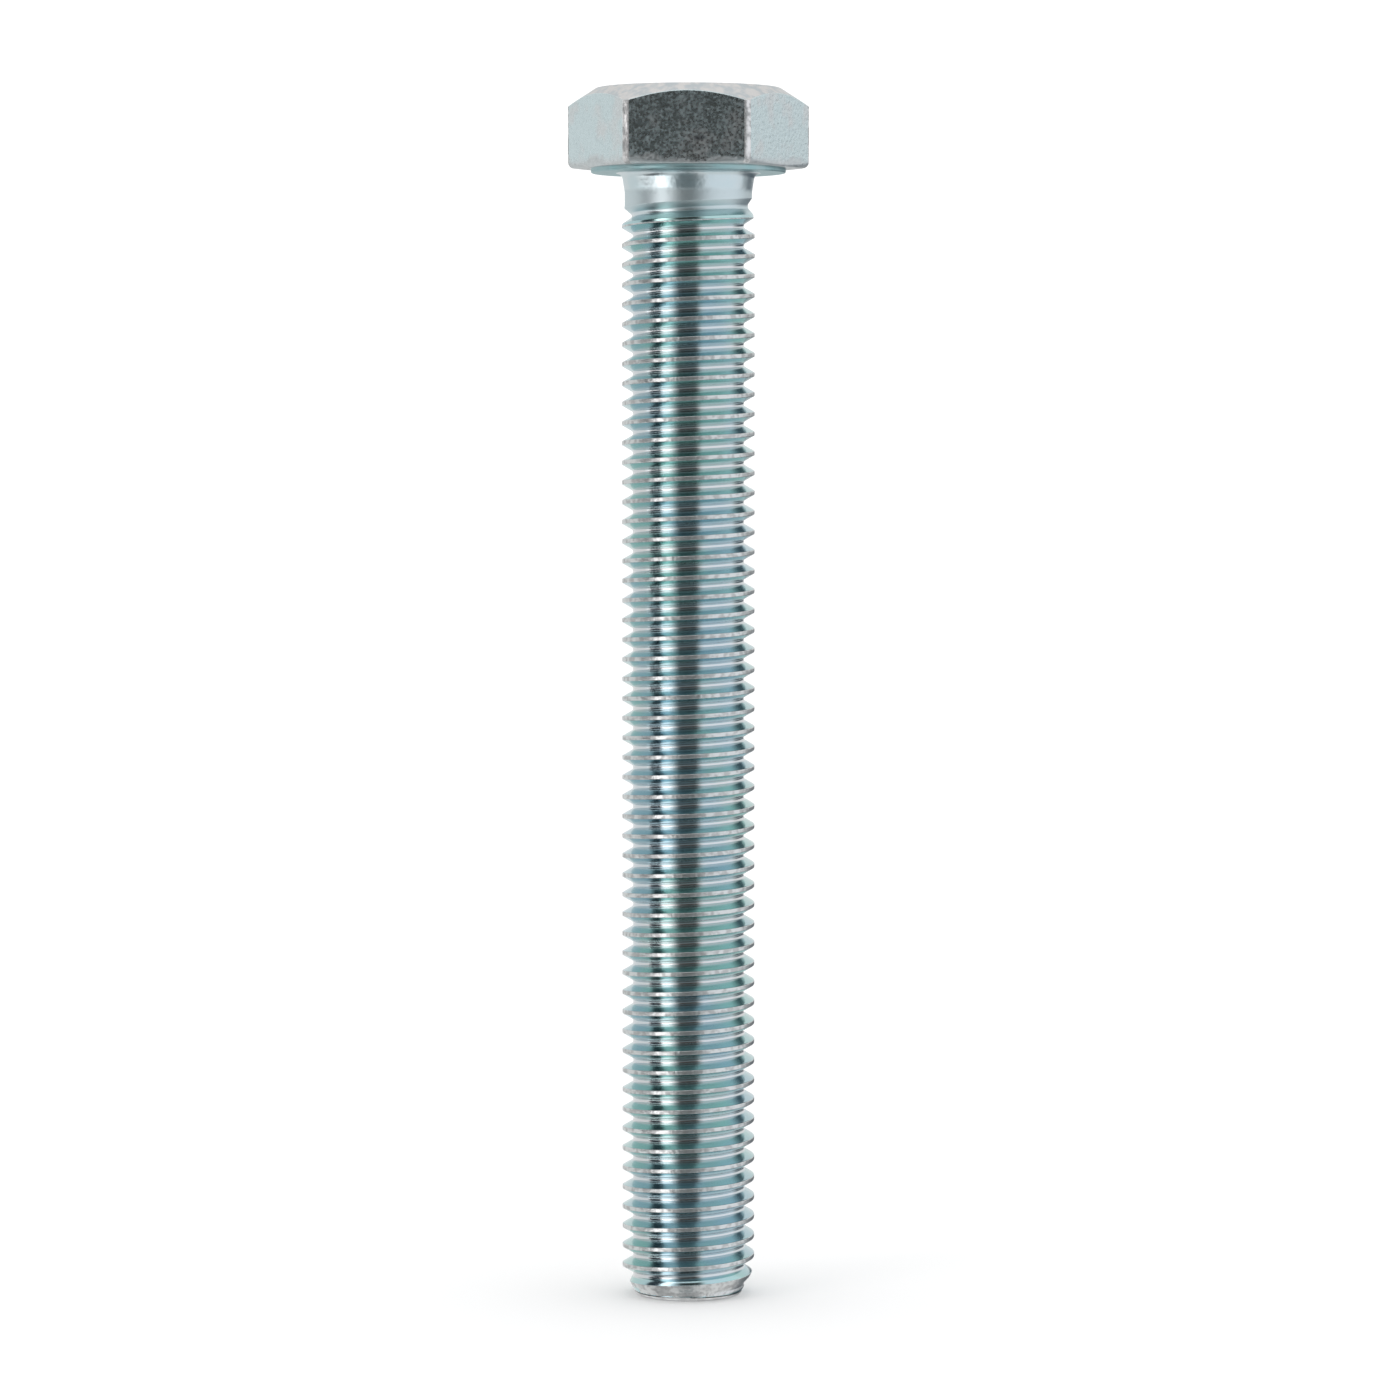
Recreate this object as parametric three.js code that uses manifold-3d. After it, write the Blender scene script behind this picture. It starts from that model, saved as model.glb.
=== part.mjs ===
// A metric hex head bolt, M12 x 1.75 x 100 mm, threaded almost to its head. It is one piece of
// cold-forged steel: the head is upset and trimmed from the wire, and the thread is rolled.
// Millimetres, +Z up along the axis towards the head. The origin is the centre of the bearing face.
import * as THREE from "three";
import { mergeVertices } from "three/addons/utils/BufferGeometryUtils.js";
import Module from "manifold-3d";

// Length and head
const LENGTH = 100; // bearing face to the end of the point
const HEAD_HEIGHT = 7.5;
const ACROSS_FLATS = 18.7; // a 19 mm spanner fits over it
const CORNER_RADIUS = 10.74; // the hexagon's corners are turned down to this
const TOP_RADIUS = 8.2; // flat circle on top of the head, inside the chamfer
const CHAMFER_DROP = 1.65; // height of the chamfer at a corner
const UNDER_EDGE_ROUND = 0.65; // rounding of the corners' lower ends
const WASHER_FACE_RADIUS = 8.65;
const WASHER_FACE_HEIGHT = 0.42;
const WASHER_FACE_BEVEL = 0.15;

// Unthreaded neck under the head
const NECK_RADIUS = 5.64;
const NECK_TOP_RADIUS = 5.92;
const NECK_TAPER_END = 1.8; // depth below the bearing face where the taper reaches NECK_RADIUS
const NECK_LENGTH = 2.1;
const NECK_PROUD = 0.02; // the neck stands this far outside the shank, so that no two skins coincide
const NECK_END_INSET = 0.3; // its lower end narrows by this, inside the shank
const FILLET_RADIUS = 0.6;

// Thread: 60 degree metric profile, right-handed
const PITCH = 1.75;
const CREST_RADIUS = 5.9;
const PITCH_RADIUS = 5.432;
const ROOT_RADIUS = 4.93;
const FLANK_SLOPE = Math.tan(THREE.MathUtils.degToRad(30));
const GROOVE_Z = -4.675; // height of the first full groove on the +X side
const FULL_CREST_Z = -4.6; // the crests rise from NECK_RADIUS to full size down to here
const FIRST_CREST_Z = -2.8;
const RUN_OUT = 2.9 * Math.PI; // angle along the thread, past that groove, in which the depth fades
const LEAST_DEPTH = 0.04; // share of the depth kept past the run-out, so that no face vanishes

// Point
const POINT_RADIUS = 4.9;
const END_RADIUS = 4.5; // flat end face
const POINT_BEVEL = 0.4;
const POINT_SLOPE = 0.55; // radius gained per millimetre of height

// Fineness of the round surfaces
const THREAD_STEPS = 16; // per turn
const TURNED_STEPS = 48;
const ARC_STEPS = 4;

const INSIDE = 1; // how far one solid reaches into the next, so that they join
const WELD = 1e-4; // points nearer than this are one

const wasm = await Module();
wasm.setup();

// A closed geometry as a manifold-3d solid.
function solid(geometry) {
  const bare = geometry.clone();
  bare.deleteAttribute("normal");
  bare.deleteAttribute("uv");
  const merged = mergeVertices(bare, WELD);
  return new wasm.Manifold(
    new wasm.Mesh({
      numProp: 3,
      vertProperties: merged.attributes.position.array,
      triVerts: new Uint32Array(merged.index.array),
    }),
  );
}

// A manifold-3d solid as a geometry.
function geometryOf(made) {
  const { vertProperties, triVerts } = made.getMesh();
  const geometry = new THREE.BufferGeometry();
  geometry.setAttribute("position", new THREE.BufferAttribute(vertProperties, 3));
  geometry.setIndex(new THREE.BufferAttribute(triVerts, 1));
  geometry.computeVertexNormals();
  return geometry;
}

// A solid of revolution about Z. The path holds (radius, height) and runs up from the axis and back to it.
function turned(path) {
  const lathe = new THREE.LatheGeometry(path.getPoints(ARC_STEPS), TURNED_STEPS);
  return solid(lathe.rotateX(Math.PI / 2));
}

// How deep the groove is at an angle along the thread, from 1 at full depth to nearly 0 at the neck.
function depthShare(angle) {
  const t = THREE.MathUtils.clamp(angle / RUN_OUT, 0, 1);
  return Math.max(1 - t * t, LEAST_DEPTH);
}

function crestRadius(z) {
  const t = THREE.MathUtils.clamp((z - FIRST_CREST_Z) / (FULL_CREST_Z - FIRST_CREST_Z), 0, 1);
  return THREE.MathUtils.lerp(NECK_RADIUS, CREST_RADIUS, t);
}

// One groove's cross-section at an angle along the thread, as [radius, height] points going up.
function grooveSection(angle) {
  const z = GROOVE_Z + (PITCH * angle) / (2 * Math.PI);
  const root = THREE.MathUtils.lerp(crestRadius(z), ROOT_RADIUS, depthShare(angle));
  const rootHalf = PITCH / 4 - (PITCH_RADIUS - ROOT_RADIUS) * FLANK_SLOPE;
  const crestHalf = rootHalf + (crestRadius(z) - root) * FLANK_SLOPE;
  return [
    [crestRadius(z - crestHalf), z - crestHalf],
    [root, z - rootHalf],
    [root, z + rootHalf],
    [crestRadius(z + crestHalf), z + crestHalf],
  ];
}

// A rod with the thread along all of it. Its skin is one strip, a groove wide, that winds up the bolt:
// the strip's upper edge joins its own lower edge one turn later. Both ends are closed to a point.
function threadedRod() {
  const low = Math.floor((-LENGTH - INSIDE - GROOVE_Z) / PITCH) - 1;
  const high = Math.ceil((-INSIDE - GROOVE_Z) / PITCH);
  const last = (high - low) * THREAD_STEPS;
  const positions = [];
  for (let step = 0; step <= last; step++) {
    const angle = 2 * Math.PI * (low + step / THREAD_STEPS);
    for (const [radius, z] of grooveSection(angle))
      positions.push(radius * Math.cos(angle), radius * Math.sin(angle), z);
  }
  const points = positions.length / 3 / (last + 1);
  const id = (step, point) => step * points + point;
  const above = (step, point) => (point < points - 1 ? id(step, point + 1) : id(step + THREAD_STEPS, 0));

  const index = [];
  for (let step = 0; step < last; step++)
    for (let point = 0; point < points; point++) {
      if (point === points - 1 && step + 1 + THREAD_STEPS > last) continue;
      const [a, b] = [id(step, point), id(step + 1, point)];
      const [c, d] = [above(step + 1, point), above(step, point)];
      index.push(a, b, c, a, c, d);
    }

  const bottomEdge = [];
  const topEdge = [];
  for (let i = 0; i <= THREAD_STEPS; i++) {
    bottomEdge.push(id(THREAD_STEPS - i, 0));
    topEdge.push(id(last - THREAD_STEPS + i, points - 1));
  }
  for (let point = 1; point < points; point++) {
    bottomEdge.push(id(0, point));
    topEdge.push(id(last, points - 1 - point));
  }
  const closeTo = (edge, z) => {
    const apex = positions.length / 3;
    positions.push(0, 0, z);
    edge.forEach((corner, i) => index.push(corner, edge[(i + 1) % edge.length], apex));
  };
  closeTo(bottomEdge, GROOVE_Z + PITCH * (low - 1));
  closeTo(topEdge, GROOVE_Z + PITCH * (high + 1));

  const geometry = new THREE.BufferGeometry();
  geometry.setAttribute("position", new THREE.Float32BufferAttribute(positions, 3));
  geometry.setIndex(index);
  return solid(geometry);
}

// The space that the finished thread fills: square under the neck, coned at the point.
function threadEnvelope() {
  const outer = CREST_RADIUS + INSIDE;
  const coneHeight = (outer - POINT_RADIUS) / POINT_SLOPE;
  const profile = new THREE.Path()
    .moveTo(0, -LENGTH)
    .lineTo(END_RADIUS, -LENGTH)
    .lineTo(POINT_RADIUS, -LENGTH + POINT_BEVEL)
    .lineTo(outer, -LENGTH + POINT_BEVEL + coneHeight)
    .lineTo(outer, -INSIDE)
    .lineTo(0, -INSIDE);
  return turned(profile);
}

// The neck, the fillet under the head and the round washer face that the bolt bears on.
function neckAndWasherFace() {
  const filletEnd = NECK_TOP_RADIUS + FILLET_RADIUS;
  const profile = new THREE.Path()
    .moveTo(0, -NECK_LENGTH)
    .lineTo(NECK_RADIUS - NECK_END_INSET, -NECK_LENGTH)
    .lineTo(NECK_RADIUS + NECK_PROUD, -NECK_TAPER_END)
    .lineTo(NECK_TOP_RADIUS, -FILLET_RADIUS)
    .absarc(filletEnd, -FILLET_RADIUS, FILLET_RADIUS, Math.PI, Math.PI / 2, true)
    .lineTo(WASHER_FACE_RADIUS - WASHER_FACE_BEVEL, 0)
    .lineTo(WASHER_FACE_RADIUS, WASHER_FACE_BEVEL)
    .lineTo(WASHER_FACE_RADIUS, WASHER_FACE_HEIGHT + INSIDE)
    .lineTo(0, WASHER_FACE_HEIGHT + INSIDE);
  return turned(profile);
}

// The hexagon, with flats facing +Y and -Y, chamfered above and rounded at its corners.
function hexagon() {
  const sharpRadius = ACROSS_FLATS / 2 / Math.cos(Math.PI / 6);
  const height = HEAD_HEIGHT + INSIDE;
  const prism = new THREE.CylinderGeometry(sharpRadius, sharpRadius, height, 6)
    .rotateX(Math.PI / 2)
    .rotateZ(Math.PI / 6)
    .translate(0, 0, height / 2);
  const roundCentre = CORNER_RADIUS - UNDER_EDGE_ROUND;
  const profile = new THREE.Path()
    .moveTo(0, WASHER_FACE_HEIGHT)
    .lineTo(roundCentre, WASHER_FACE_HEIGHT)
    .absarc(roundCentre, WASHER_FACE_HEIGHT + UNDER_EDGE_ROUND, UNDER_EDGE_ROUND, -Math.PI / 2, 0, false)
    .lineTo(CORNER_RADIUS, HEAD_HEIGHT - CHAMFER_DROP)
    .lineTo(TOP_RADIUS, HEAD_HEIGHT)
    .lineTo(0, HEAD_HEIGHT);
  return solid(prism).intersect(turned(profile));
}

function hexBolt() {
  const shank = threadedRod().intersect(threadEnvelope());
  const made = hexagon().add(neckAndWasherFace()).add(shank);
  const zincPlate = new THREE.MeshStandardMaterial({ color: 0xb9ccd2, roughness: 0.3, metalness: 1 });
  const mesh = new THREE.Mesh(geometryOf(made), zincPlate);
  mesh.name = "hex_bolt";
  return mesh;
}

const bolt = new THREE.Group();
bolt.add(hexBolt());
export default bolt;
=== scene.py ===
import math

import bpy
import numpy as np
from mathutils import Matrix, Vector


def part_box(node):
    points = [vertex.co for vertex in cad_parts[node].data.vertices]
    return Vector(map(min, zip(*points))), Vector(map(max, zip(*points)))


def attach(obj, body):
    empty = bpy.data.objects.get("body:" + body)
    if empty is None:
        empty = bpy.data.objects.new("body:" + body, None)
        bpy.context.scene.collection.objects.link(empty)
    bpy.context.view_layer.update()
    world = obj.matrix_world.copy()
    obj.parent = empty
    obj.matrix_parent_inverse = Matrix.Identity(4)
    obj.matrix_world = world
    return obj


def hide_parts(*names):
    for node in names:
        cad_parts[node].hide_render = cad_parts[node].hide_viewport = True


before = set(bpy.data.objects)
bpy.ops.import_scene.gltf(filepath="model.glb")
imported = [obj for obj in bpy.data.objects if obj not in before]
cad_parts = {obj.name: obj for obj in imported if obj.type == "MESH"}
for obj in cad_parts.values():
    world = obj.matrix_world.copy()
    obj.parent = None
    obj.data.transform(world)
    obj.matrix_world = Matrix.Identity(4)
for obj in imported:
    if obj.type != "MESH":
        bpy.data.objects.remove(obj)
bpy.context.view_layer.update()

MM = 0.001
NODE = "hex_bolt"

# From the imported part: its box gives the length, the head's height and half its width across flats.
low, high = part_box(NODE)
LENGTH = -low.z / MM
HEAD_HEIGHT = high.z / MM
HALF_FLATS = high.y / MM

# Head
TOP_RADIUS = 8.2  # flat circle inside the chamfer
CHAMFER_SLOPE = 0.65  # drop per millimetre of radius
CORNER_ROUND = 0.65  # the upright edges between the flats
CHAMFER_ROUND = 0.12  # between flats and chamfer
TOP_ROUND = 0.3  # between chamfer and top
LOWER_ROUND_AT_FLAT = 0.16  # the hexagon's lower edge
LOWER_ROUND_AT_CORNER = 0.6
UNDERSIDE = 0.42  # height of the hexagon's underside above the bearing face
WASHER_RADIUS = 8.65
WASHER_ROUND = 0.15
WASHER_JOIN = 0.05  # width of the ring that joins the washer face to the hexagon

# Neck
FILLET_RADIUS = 0.6
NECK_TOP_RADIUS = 5.92
NECK_RADIUS = 5.65
NECK_TAPER_END = 1.7  # depth below the bearing face
NECK_ROUND = 1.5  # where the taper ends

# Thread, right-handed, with 60 degree flanks
PITCH = 1.75
CREST_RADIUS = 5.9
PITCH_RADIUS = 5.432
ROOT_RADIUS = 4.93
ROOT_ROUND = 0.25
CREST_ROUND = 0.09
GROOVE_Z = -4.675  # height of the first full groove on the +X side
FIRST_CREST_Z = -2.8  # from here down the crests rise from NECK_RADIUS
FULL_CREST_Z = -4.6  # and are at full size here
RUN_OUT = 2.9 * math.pi  # angle along the thread, past the first full groove, in which it fades
THREAD_TOP = -2.05  # the neck starts here

# Point
POINT_RADIUS = 4.68
POINT_SLOPE = 0.55  # radius gained per millimetre of height
POINT_ROUND = 0.25
POINT_RIM = 0.3  # height of the plain rim below the thread's end
BLEND = 0.1  # how softly the thread runs into the point
DULL_END = 1.3  # height of the dull stretch at the bolt's end
DULL_FADE = 0.3  # height in which it fades out

# Fineness
COLUMNS = 72  # round the thread and neck
FLAT_STEPS = 16  # across one flat of the hexagon
FLAT_ROWS = 8  # up one flat
FLAT_MARGIN = 0.1  # between the top row and the chamfer
TOP_RINGS = (0.8, 0.5, 0.2, 0)  # shares of the top's radius
ARC_STEPS = 4
THREAD_ARC_STEPS = 3
SHARP_FROM = 35  # degrees between two faces

# Finish of the neck's shoulder, which the thread runs into
SHOULDER_COLOR = (0.64, 0.73, 0.755)
SHOULDER_ROUGHNESS = 0.45
SHOULDER_FADE = 0.4  # height in which the neck turns as dull as its shoulder
NECK_ROUGHNESS = 0.28
THREAD_FADE_Z = -4.2  # from here up the thread turns as dull as the shoulder

# Marks on the head
SHEARED_STRIP = 0.9  # height of the rough strip along the flats' lower edges
NICK_PLACE = (1.15, -HALF_FLATS, 2.6)
NICK_SIZE = (1.1, 1.0, 0.55)  # half-lengths
NICK_DEPTH = 0.03
NICK_SCALE = tuple(1 / (size * MM) for size in NICK_SIZE)
NICK_SHIFT = tuple(-place / size for place, size in zip(NICK_PLACE, NICK_SIZE))
PEBBLE_DEPTH = 0.045

# Camera
CAMERA_DISTANCE = 452.8
CAMERA_SIDE = 0.28  # off the bolt's axis, to the right
CAMERA_DROP = 22.55  # below the bearing face
CAMERA_TURN = 0.9  # degrees round the bolt from square to a flat
CAMERA_TILT = 2.97  # degrees downwards
LENS = 132.3
SENSOR_WIDTH = 36

# Studio
FLOOR_REACH = 30000
FLOOR_GAP = 0.1  # below the point's end
FLOOR_COLOR = (0.95, 0.95, 0.95, 1)
FLOOR_ROUGHNESS = 0.9
TENT_COLOR = (0.87, 0.88, 0.88)  # where the tent has no panel
PLAIN_LIGHT = (1.15, 1.15, 1.15)  # what the camera and the soft light see


# ---------------------------------------------------------------- shape


def rounded(before, corner, after, radius, steps=ARC_STEPS):
    """Points of an arc that rounds one corner of a path in the plane."""
    before, corner, after = (np.array(p, float) for p in (before, corner, after))
    arrive = (corner - before) / np.linalg.norm(corner - before)
    leave = (after - corner) / np.linalg.norm(after - corner)
    half_turn = math.acos(np.clip(arrive @ leave, -1, 1)) / 2
    inward = leave - arrive
    centre = corner + inward / np.linalg.norm(inward) * radius / math.cos(half_turn)
    start = corner - arrive * radius * math.tan(half_turn) - centre
    across = arrive * radius
    angles = np.linspace(0, 2 * half_turn, steps + 1)
    return [tuple(centre + start * math.cos(a) + across * math.sin(a)) for a in angles]


def smooth_min(a, b, width):
    """The lesser of two values, with the edge between them rounded."""
    near = np.clip(0.5 + 0.5 * (b - a) / width, 0, 1)
    return b + (a - b) * near - width * near * (1 - near)


def blend(a, b, t):
    return a + (b - a) * t


class Skin:
    """Grids of points with a finish for each face. Points in the same place become one at the end."""

    def __init__(self):
        self.points = []
        self.faces = []
        self.finishes = []
        self.crests = []
        self.count = 0

    def add(self, points, faces, finish, crest=None):
        points = np.asarray(points, float).reshape(-1, 3)
        self.points.append(points)
        self.crests.append(np.zeros(len(points)) if crest is None else np.ravel(crest))
        self.faces += [[self.count + corner for corner in face] for face in faces]
        self.finishes += [finish] * len(faces)
        self.count += len(points)

    def grid(self, points, finish, crest=None):
        """Quads between the rows and columns of an array of points."""
        rows, columns = points.shape[:2]
        faces = []
        for row in range(rows - 1):
            for column in range(columns - 1):
                corner = row * columns + column
                faces.append((corner, corner + 1, corner + 1 + columns, corner + columns))
        self.add(points, faces, finish, crest)

    def strips(self, points, finishes):
        """A grid whose columns of quads each have their own finish."""
        for column, finish in enumerate(finishes):
            self.grid(points[:, column : column + 2], finish)

    def bridge(self, inner, outer, finish):
        """Triangles between two closed rings of different counts. Each starts and ends at one angle."""
        points = np.concatenate([inner, outer])
        inner_angle = np.unwrap(np.arctan2(inner[:, 1], inner[:, 0]))
        outer_angle = np.unwrap(np.arctan2(outer[:, 1], outer[:, 0]))
        faces = []
        i = j = 0
        while i < len(inner) - 1 or j < len(outer) - 1:
            inner_is_next = j == len(outer) - 1 or (
                i < len(inner) - 1 and inner_angle[i + 1] <= outer_angle[j + 1]
            )
            if inner_is_next:
                faces.append((i, i + 1, len(inner) + j))
                i += 1
            else:
                faces.append((i, len(inner) + j + 1, len(inner) + j))
                j += 1
        self.add(points, faces, finish)

    def mesh(self, name, finishes):
        points = np.concatenate(self.points)
        crests = np.concatenate(self.crests)
        _, first, merged = np.unique(points.round(5), axis=0, return_index=True, return_inverse=True)
        merged = merged.ravel()
        faces, slots = [], []
        for face, finish in zip(self.faces, self.finishes):
            corners = list(dict.fromkeys(merged[face].tolist()))
            if len(corners) > 2:
                faces.append(corners)
                slots.append(finishes.index(finish))
        mesh = bpy.data.meshes.new(name)
        mesh.from_pydata(points[first] * MM, [], faces)
        mesh.polygons.foreach_set("material_index", slots)
        mesh.attributes.new("crest", "FLOAT", "POINT").data.foreach_set("value", crests[first])
        return mesh


def turned(path, angles):
    """Rows of points: a path of (radius, height) swept through the angles."""
    radius, z = np.array(path).T
    x = np.outer(radius, np.cos(angles))
    y = np.outer(radius, np.sin(angles))
    return np.stack([x, y, np.broadcast_to(z[:, None], x.shape)], -1)


def groove_profile():
    """A groove's section from one crest's middle to the next, as (offset along the axis, radius)."""
    slope = math.tan(math.radians(30))
    root_middle = (0, ROOT_RADIUS)
    root_corner = (PITCH / 4 - (PITCH_RADIUS - ROOT_RADIUS) * slope, ROOT_RADIUS)
    crest_corner = (PITCH / 4 + (CREST_RADIUS - PITCH_RADIUS) * slope, CREST_RADIUS)
    crest_middle = (PITCH / 2, CREST_RADIUS)
    upper = [
        root_middle,
        *rounded(root_middle, root_corner, crest_corner, ROOT_ROUND, THREAD_ARC_STEPS),
        *rounded(root_corner, crest_corner, crest_middle, CREST_ROUND, THREAD_ARC_STEPS),
    ]
    lower = [(-offset, radius) for offset, radius in reversed(upper[1:])]
    return [(-PITCH / 2, CREST_RADIUS), *lower, *upper]


def crest_radius(z):
    rise = np.clip((z - FIRST_CREST_Z) / (FULL_CREST_Z - FIRST_CREST_Z), 0, 1)
    return blend(NECK_RADIUS, CREST_RADIUS, rise)


def add_thread(skin):
    """The threaded length. Its rows climb along the helix, and both ends are trimmed square.

    The last column is the first one a turn higher, which is what joins the rows into one helix.
    """
    profile = groove_profile()
    bottom = -LENGTH + POINT_RIM
    first = math.floor((bottom - GROOVE_Z) / PITCH) - 2
    last = math.ceil((THREAD_TOP - GROOVE_Z) / PITCH) + 1
    offset = np.tile([s for s, _ in profile], last - first)[:, None]
    full = np.tile([r for _, r in profile], last - first)[:, None]
    turn = np.repeat(np.arange(first, last), len(profile))[:, None]
    theta = np.linspace(0, 2 * math.pi, COLUMNS + 1)[None, :]
    along = 2 * math.pi * turn + theta
    z = GROOVE_Z + PITCH * along / (2 * math.pi) + offset
    rise = (full - ROOT_RADIUS) / (CREST_RADIUS - ROOT_RADIUS)
    formed = 1 - np.clip(along / RUN_OUT, 0, 1) ** 2
    radius = blend(crest_radius(z), ROOT_RADIUS, (1 - rise) * formed)
    cone = POINT_RADIUS + POINT_SLOPE * (z + LENGTH)
    crest = np.where(cone < radius, 1, 0.5 + (rise - 0.5) * formed)
    crest = np.maximum(crest, np.clip((DULL_END - LENGTH - z) / DULL_FADE, 0, 1))
    radius = smooth_min(radius, cone, BLEND)
    radius = np.where(z < bottom, POINT_RADIUS + POINT_SLOPE * POINT_RIM, radius)
    radius = np.where(z > THREAD_TOP, NECK_RADIUS, radius)
    z = np.clip(z, bottom, THREAD_TOP)
    points = np.stack([radius * np.cos(theta), radius * np.sin(theta), z], -1)
    skin.grid(points, "thread", crest)


def add_point(skin, angles):
    rim = (POINT_RADIUS + POINT_SLOPE * POINT_RIM, POINT_RIM - LENGTH)
    corner = (POINT_RADIUS, -LENGTH)
    centre = (0, -LENGTH)
    path = [rim, *rounded(rim, corner, centre, POINT_ROUND), (POINT_RADIUS / 2, -LENGTH), centre]
    skin.grid(turned(path, angles), "point")


def add_neck(skin, angles):
    """The neck, the fillet under the head and the round washer face."""
    neck_end = (NECK_RADIUS, -NECK_TAPER_END)
    fillet_start = (NECK_TOP_RADIUS, 0)
    washer_edge = (WASHER_RADIUS, 0)
    path = [
        (NECK_RADIUS, THREAD_TOP),
        *rounded((NECK_RADIUS, THREAD_TOP), neck_end, fillet_start, NECK_ROUND),
        *rounded(neck_end, fillet_start, washer_edge, FILLET_RADIUS),
    ]
    skin.grid(turned(path, angles), "neck")
    path = [
        path[-1],
        (blend(path[-1][0], WASHER_RADIUS, 0.5), 0),
        *rounded((0, 0), washer_edge, (WASHER_RADIUS, UNDERSIDE), WASHER_ROUND),
        (WASHER_RADIUS, UNDERSIDE),
    ]
    skin.grid(turned(path, angles), "washer_face")


def hexagon_outline():
    """(angle, radius) round the hexagon, from the middle of the corner on +X all the way round to it."""
    corner_reach = HALF_FLATS / math.cos(math.radians(30))
    centre = corner_reach - CORNER_ROUND / math.cos(math.radians(30))
    arc = [
        (centre + CORNER_ROUND * math.cos(a), CORNER_ROUND * math.sin(a))
        for a in np.radians(np.linspace(0, 30, ARC_STEPS + 1))
    ]
    reach = CORNER_ROUND * math.tan(math.radians(30))
    half_side = HALF_FLATS * math.tan(math.radians(30)) - reach
    angles, radii = [], []
    for x, y in arc:
        angles.append(math.atan2(y, x))
        radii.append(math.hypot(x, y))
    for step in range(1, FLAT_STEPS // 2 + 1):
        across = half_side * (1 - 2 * step / FLAT_STEPS)
        angles.append(math.radians(30) - math.atan2(across, HALF_FLATS))
        radii.append(math.hypot(across, HALF_FLATS))
    whole_angles, whole_radii = [], []
    for side in range(6):
        start = side * math.radians(60)
        whole_angles += [start + a for a in angles]
        whole_radii += radii
        whole_angles += [start + math.radians(60) - a for a in reversed(angles[1:-1])]
        whole_radii += radii[-2:0:-1]
    return np.array(whole_angles + [2 * math.pi]), np.array(whole_radii + [radii[0]])


def head_path(radius):
    """The head's section at an angle where the hexagon has this radius, from underside to top."""
    cornering = (radius - HALF_FLATS) / (HALF_FLATS / math.cos(math.radians(30)) - HALF_FLATS)
    lower_round = blend(LOWER_ROUND_AT_FLAT, LOWER_ROUND_AT_CORNER, cornering)
    chamfer_z = HEAD_HEIGHT - CHAMFER_SLOPE * (radius - TOP_RADIUS)
    inner = (WASHER_RADIUS + WASHER_JOIN, UNDERSIDE)
    lower, upper = (radius, UNDERSIDE), (radius, chamfer_z)
    rim, centre = (TOP_RADIUS, HEAD_HEIGHT), (0, HEAD_HEIGHT)
    under = [inner, *rounded(inner, lower, upper, lower_round)]
    rows = np.linspace(under[-1][1], chamfer_z - FLAT_MARGIN, FLAT_ROWS)
    side = [(radius, z) for z in rows[1:-1]]
    side += rounded(lower, upper, rim, CHAMFER_ROUND)
    chamfer = rounded(upper, rim, centre, TOP_ROUND)
    top = [(TOP_RADIUS * share, HEAD_HEIGHT) for share in TOP_RINGS]
    return under, side, chamfer, top


def add_head(skin, angles):
    outline_angles, outline_radii = hexagon_outline()
    paths = [head_path(radius) for radius in outline_radii]

    def section(pick):
        columns = [turned(pick(path), [angle]) for path, angle in zip(paths, outline_angles)]
        return np.concatenate(columns, axis=1)

    one_side = ["corners"] * ARC_STEPS + ["flats"] * FLAT_STEPS + ["corners"] * ARC_STEPS
    skin.strips(section(lambda p: p[0] + p[1]), one_side * 6)
    skin.grid(section(lambda p: p[1][-1:] + p[2]), "chamfer")
    skin.grid(section(lambda p: p[2][-1:] + p[3]), "top")
    washer = turned([(WASHER_RADIUS, UNDERSIDE)], angles)[0]
    skin.bridge(washer, section(lambda p: p[0][:1])[0], "flats")


def keep_faces_flat(mesh):
    """Point normals led by the largest faces, so that a flat face between rounded edges looks flat."""
    corners = np.empty(len(mesh.loops), int)
    mesh.loops.foreach_get("vertex_index", corners)
    faces = len(mesh.polygons)
    sizes, areas, normals = np.empty(faces, int), np.empty(faces), np.empty(faces * 3)
    mesh.polygons.foreach_get("loop_total", sizes)
    mesh.polygons.foreach_get("area", areas)
    mesh.polygons.foreach_get("normal", normals)
    share = normals.reshape(-1, 3) * (areas[:, None] / areas.max()) ** 2
    total = np.zeros((len(mesh.vertices), 3))
    np.add.at(total, corners, np.repeat(share, sizes, axis=0))
    total /= np.linalg.norm(total, axis=1, keepdims=True)
    for edge in mesh.edges:
        if edge.use_edge_sharp:
            total[list(edge.vertices)] = 0
    mesh.normals_split_custom_set_from_vertices(total)


def make_bolt(finishes):
    skin = Skin()
    angles = np.linspace(0, 2 * math.pi, COLUMNS + 1)
    add_point(skin, angles)
    add_thread(skin)
    add_neck(skin, angles)
    add_head(skin, angles)
    mesh = skin.mesh("bolt", list(finishes))
    for material in finishes.values():
        mesh.materials.append(material)
    mesh.polygons.foreach_set("use_smooth", [True] * len(mesh.polygons))
    mesh.set_sharp_from_angle(angle=math.radians(SHARP_FROM))
    keep_faces_flat(mesh)
    bolt = bpy.data.objects.new("bolt", mesh)
    bpy.context.collection.objects.link(bolt)
    return bolt


# ---------------------------------------------------------------- finish


def new_material(name):
    material = bpy.data.materials.new(name)
    material.use_nodes = True
    return material, material.node_tree, material.node_tree.nodes["Principled BSDF"]


def node(tree, kind, inputs=None, **settings):
    made = tree.nodes.new("ShaderNode" + kind)
    for key, value in settings.items():
        setattr(made, key, value)
    for key, value in (inputs or {}).items():
        if isinstance(value, bpy.types.NodeSocket):
            tree.links.new(value, made.inputs[key])
        else:
            made.inputs[key].default_value = value
    return made


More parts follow.
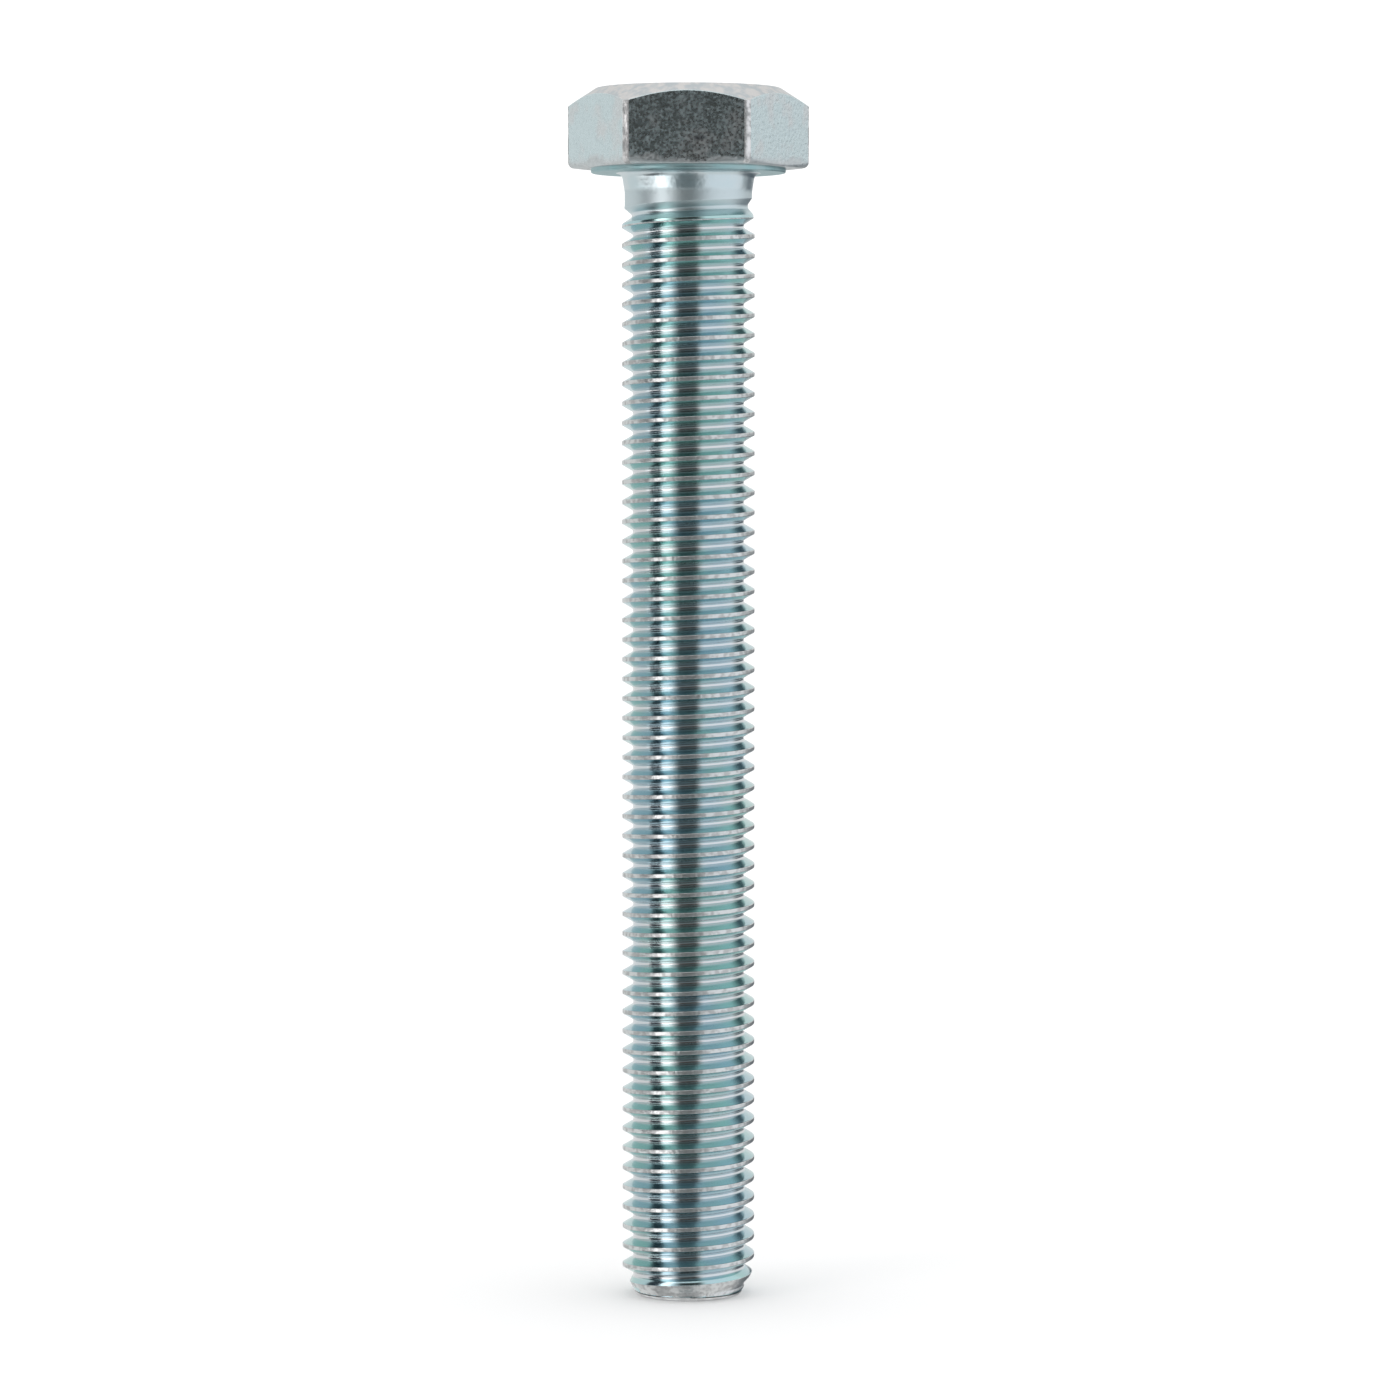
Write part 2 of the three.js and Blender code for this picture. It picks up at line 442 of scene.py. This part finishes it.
def mix(tree, share, a, b):
    """Colour a at share 0 and b at share 1."""
    colors = [(*c, 1) if isinstance(c, tuple) else c for c in (a, b)]
    made = node(tree, "Mix", {0: share, 6: colors[0], 7: colors[1]}, data_type="RGBA")
    return made.outputs[2]


def ramp(tree, value, start, end, low=0.0, high=1.0):
    """A smooth change from low to high as the value goes from start to end."""
    inputs = {0: value, 1: start, 2: end, 3: low, 4: high}
    return node(tree, "MapRange", inputs, interpolation_type="SMOOTHSTEP").outputs[0]


def noise(tree, place, size, detail=2.0):
    """Noise whose largest lumps are about this many millimetres across."""
    inputs = {"Vector": place, "Scale": 1 / (size * MM), "Detail": detail}
    return node(tree, "TexNoise", inputs).outputs[0]


def times(tree, a, b):
    return node(tree, "Math", {0: a, 1: b}, operation="MULTIPLY").outputs[0]


def plus(tree, a, b):
    return node(tree, "Math", {0: a, 1: b}, operation="ADD").outputs[0]


def blend_values(tree, share, a, b):
    return node(tree, "Mix", {0: share, 2: a, 3: b}, data_type="FLOAT").outputs[0]


def emboss(tree, shader, height, depth):
    """Tilt the surface by a height from 0 to 1 that stands for this many millimetres."""
    made = node(tree, "Bump", {"Height": height, "Distance": depth * MM, "Strength": 1.0})
    tree.links.new(made.outputs[0], shader.inputs["Normal"])


def zinc(name, colors, patch, roughness, grain, grain_depth):
    """Plated steel whose colour and polish drift from patch to patch, over a grain of small bumps.

    Patch, grain and grain depth are in millimetres.
    """
    material, tree, shader = new_material(name)
    place = node(tree, "TexCoord").outputs["Object"]
    drift = ramp(tree, noise(tree, place, size=patch, detail=3), 0.38, 0.62)
    tree.links.new(mix(tree, drift, *colors), shader.inputs["Base Color"])
    tree.links.new(ramp(tree, drift, 0, 1, *roughness), shader.inputs["Roughness"])
    shader.inputs["Metallic"].default_value = 1
    emboss(tree, shader, noise(tree, place, size=grain, detail=2), depth=grain_depth)
    return material


def flats_zinc():
    """Pebbled by the forging die, with a rough sheared strip along the lower edge and one nick: a
    shallow dent whose near-black colour is painted shade.
    """
    material, tree, shader = new_material("zinc_flats")
    place = node(tree, "TexCoord").outputs["Object"]
    height = node(tree, "SeparateXYZ", {0: place}).outputs[2]
    patch = noise(tree, place, size=2.5, detail=4)
    wander = ramp(tree, patch, 0.3, 0.7, -SHEARED_STRIP * MM / 2, SHEARED_STRIP * MM / 2)
    sheared = ramp(tree, plus(tree, height, wander), SHEARED_STRIP * MM * 1.4, SHEARED_STRIP * MM * 0.8)
    stain = ramp(tree, patch, 0.48, 0.66)
    color = mix(tree, stain, (0.59, 0.69, 0.71), (0.63, 0.67, 0.68))
    color = mix(tree, times(tree, sheared, 0.6), color, (0.63, 0.63, 0.63))
    squashed = node(tree, "Mapping", {0: place, 1: NICK_SHIFT, 3: NICK_SCALE}).outputs[0]
    reach = node(tree, "VectorMath", {0: squashed}, operation="LENGTH").outputs["Value"]
    # The nick's mask sinks a shallow dent into the relief and also darkens the colour there to near
    # black, which is painted shade in the dent's hollow.
    dent_and_painted_shade = ramp(tree, plus(tree, reach, times(tree, patch, 1.2)), 0.9, 1.6, 0.8, 0)
    tree.links.new(mix(tree, dent_and_painted_shade, color, (0.22, 0.24, 0.26)), shader.inputs["Base Color"])
    pebble = noise(tree, place, size=0.36, detail=3)
    fine = noise(tree, place, size=0.22, detail=4)
    polish = ramp(tree, plus(tree, fine, times(tree, patch, 0.3)), 0.35, 0.95, 0.1, 0.44)
    tree.links.new(plus(tree, polish, times(tree, sheared, 0.18)), shader.inputs["Roughness"])
    shader.inputs["Metallic"].default_value = 1
    relief = plus(tree, pebble, times(tree, dent_and_painted_shade, -NICK_DEPTH / PEBBLE_DEPTH))
    emboss(tree, shader, relief, depth=PEBBLE_DEPTH)
    return material


def neck_zinc():
    """Satin, and duller at the shoulder where the thread starts."""
    material, tree, shader = new_material("zinc_neck")
    place = node(tree, "TexCoord").outputs["Object"]
    height = node(tree, "SeparateXYZ", {0: place}).outputs[2]
    drift = ramp(tree, noise(tree, place, size=3, detail=3), 0.38, 0.62)
    shoulder = ramp(tree, height, -NECK_TAPER_END * MM, (SHOULDER_FADE - NECK_TAPER_END) * MM, 1, 0)
    color = mix(tree, drift, (0.57, 0.67, 0.70), (0.62, 0.69, 0.71))
    tree.links.new(mix(tree, shoulder, color, SHOULDER_COLOR), shader.inputs["Base Color"])
    roughness = ramp(tree, shoulder, 0, 1, NECK_ROUGHNESS, SHOULDER_ROUGHNESS)
    tree.links.new(roughness, shader.inputs["Roughness"])
    shader.inputs["Metallic"].default_value = 1
    emboss(tree, shader, noise(tree, place, size=0.6, detail=3), depth=0.03)
    return material


def thread_zinc():
    """Smooth tinted flanks, paler roots, and dull grainy crests that the rolling dies never touched.

    The mesh's crest attribute runs from 0 at a groove's root to 1 on a crest and on the dull end, and
    is 0.5 where the thread has run out.
    """
    material, tree, shader = new_material("zinc_thread")
    place = node(tree, "TexCoord").outputs["Object"]
    rise = node(tree, "Attribute", attribute_name="crest").outputs["Fac"]
    crest = ramp(tree, rise, 0.93, 0.99)
    root = ramp(tree, rise, 0.04, 0.24, 1, 0)
    drift = ramp(tree, noise(tree, place, size=7), 0.36, 0.64)
    flank_color = mix(tree, drift, (0.43, 0.63, 0.615), (0.44, 0.595, 0.65))
    root_color = mix(tree, drift, (0.67, 0.68, 0.69), (0.63, 0.68, 0.71))
    color = mix(tree, root, flank_color, root_color)
    speck = ramp(tree, noise(tree, place, size=0.6, detail=3), 0.42, 0.62)
    crest_color = mix(tree, speck, (0.67, 0.69, 0.69), (0.50, 0.51, 0.51))
    height = node(tree, "SeparateXYZ", {0: place}).outputs[2]
    neck = ramp(tree, height, THREAD_FADE_Z * MM, FIRST_CREST_Z * MM)
    color = mix(tree, neck, mix(tree, crest, color, crest_color), SHOULDER_COLOR)
    tree.links.new(color, shader.inputs["Base Color"])
    shader.inputs["Metallic"].default_value = 1
    worn = ramp(tree, speck, 0, 1, 0.3, 0.42)
    smooth = ramp(tree, neck, 0, 1, 0.16, SHOULDER_ROUGHNESS)
    tree.links.new(blend_values(tree, crest, smooth, worn), shader.inputs["Roughness"])
    grain = noise(tree, place, size=0.3, detail=3)
    emboss(tree, shader, times(tree, grain, crest), depth=0.04)
    return material


# ---------------------------------------------------------------- studio


def make_floor():
    reach = FLOOR_REACH * MM
    mesh = bpy.data.meshes.new("floor")
    corners = [(-reach, -reach, 0), (reach, -reach, 0), (reach, reach, 0), (-reach, reach, 0)]
    mesh.from_pydata(corners, [], [(0, 1, 2, 3)])
    material, _, shader = new_material("pale_floor")
    shader.inputs["Base Color"].default_value = FLOOR_COLOR
    shader.inputs["Roughness"].default_value = FLOOR_ROUGHNESS
    mesh.materials.append(material)
    floor = bpy.data.objects.new("floor", mesh)
    floor.location.z = low.z - FLOOR_GAP * MM
    floor.visible_glossy = False
    bpy.context.collection.objects.link(floor)


def make_world():
    """A white light tent with a softbox at the left, open and dark where the camera stands.

    Each panel of the tent is a range of azimuth and of elevation in degrees, seen from the bolt, with
    half the width of its soft edges at its sides and at its ends, and its colour. A later panel hides
    an earlier one. Azimuth 0 is the camera's side, and -90 is the left.
    """
    panels = [
        ((30, 112), (-90, 90), 5, 1, (1.0, 1.02, 1.06)),  # right wall
        ((120, 172), (-60, 0), 14, 3, (0.12, 0.14, 0.16)),  # its dim end
        ((-190, 190), (-91, -38), 6, 5, (0.92, 0.92, 0.92)),  # the table under the bolt
        ((-26, 24), (-91, -10), 9, 2, (0.20, 0.23, 0.24)),  # and in front of the camera
        ((-26, 24), (-10, -1), 9, 2, (0.05, 0.057, 0.06)),  # camera's opening
        ((-26, 24), (-1, 40), 9, 2, (0.058, 0.056, 0.053)),  # and above the camera
        ((-190, 190), (46, 91), 9, 9, (1.0, 1.0, 1.0)),  # roof
        ((-63, -38), (-21, 80), 7, 2, (2.3, 2.2, 2.2)),  # softbox
        ((-91, -60), (-60, 60), 4, 2, (0.035, 0.045, 0.055)),  # edge of the softbox
        ((-96, -30), (-19, -12), 6, 2, (2.6, 2.6, 2.6)),  # the softbox's light on the table
    ]
    world = bpy.data.worlds.new("studio")
    world.use_nodes = True
    tree = world.node_tree
    direction = node(tree, "TexCoord").outputs["Generated"]
    part = node(tree, "SeparateXYZ", {0: direction}).outputs
    towards_camera = times(tree, part[1], -1.0)
    azimuth = node(tree, "Math", {0: part[0], 1: towards_camera}, operation="ARCTAN2").outputs[0]
    elevation = node(tree, "Math", {0: part[2]}, operation="ARCSINE").outputs[0]

    def within(angle, limits, softness):
        start, end = (math.radians(limit) for limit in limits)
        half = math.radians(softness)
        return times(
            tree,
            ramp(tree, angle, start - half, start + half),
            ramp(tree, angle, end - half, end + half, 1, 0),
        )

    light = TENT_COLOR
    for azimuths, elevations, side_softness, end_softness, color in panels:
        across = within(azimuth, azimuths, side_softness)
        upright = within(elevation, elevations, end_softness)
        light = mix(tree, times(tree, across, upright), light, color)
    ray = node(tree, "LightPath").outputs
    plain = plus(tree, ray["Is Camera Ray"], ray["Is Diffuse Ray"])
    background = tree.nodes["Background"]
    tree.links.new(mix(tree, plain, light, PLAIN_LIGHT), background.inputs["Color"])
    bpy.context.scene.world = world


def make_camera():
    turn = math.radians(CAMERA_TURN)
    data = bpy.data.cameras.new("camera")
    data.lens = LENS
    data.sensor_width = SENSOR_WIDTH
    data.clip_start = 0.01
    camera = bpy.data.objects.new("camera", data)
    camera.location = (
        (CAMERA_SIDE * math.cos(turn) + CAMERA_DISTANCE * math.sin(turn)) * MM,
        (CAMERA_SIDE * math.sin(turn) - CAMERA_DISTANCE * math.cos(turn)) * MM,
        -CAMERA_DROP * MM,
    )
    camera.rotation_euler = (math.radians(90 - CAMERA_TILT), 0, turn)
    bpy.context.collection.objects.link(camera)
    bpy.context.scene.camera = camera


make_camera()
make_world()
make_floor()
bpy.context.scene.view_settings.view_transform = "Standard"

bolt = make_bolt(
    {
        "thread": thread_zinc(),
        "point": zinc(
            "zinc_point",
            colors=[(0.80, 0.82, 0.82), (0.64, 0.64, 0.64)],
            patch=1.2,
            roughness=(0.4, 0.55),
            grain=0.3,
            grain_depth=0.05,
        ),
        "neck": neck_zinc(),
        "washer_face": zinc(
            "zinc_washer",
            colors=[(0.32, 0.50, 0.52), (0.42, 0.58, 0.60)],
            patch=2,
            roughness=(0.4, 0.5),
            grain=0.5,
            grain_depth=0.02,
        ),
        "flats": flats_zinc(),
        "corners": zinc(
            "zinc_corners",
            colors=[(0.82, 0.82, 0.82), (0.50, 0.51, 0.51)],
            patch=0.6,
            roughness=(0.45, 0.6),
            grain=0.5,
            grain_depth=0.1,
        ),
        "chamfer": zinc(
            "zinc_chamfer",
            colors=[(0.50, 0.54, 0.56), (0.68, 0.67, 0.66)],
            patch=0.9,
            roughness=(0.3, 0.42),
            grain=0.5,
            grain_depth=0.06,
        ),
        "top": zinc(
            "zinc_top",
            colors=[(0.52, 0.58, 0.60), (0.65, 0.65, 0.65)],
            patch=2.0,
            roughness=(0.28, 0.44),
            grain=0.6,
            grain_depth=0.06,
        ),
    }
)
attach(bolt, "root")
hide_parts(NODE)
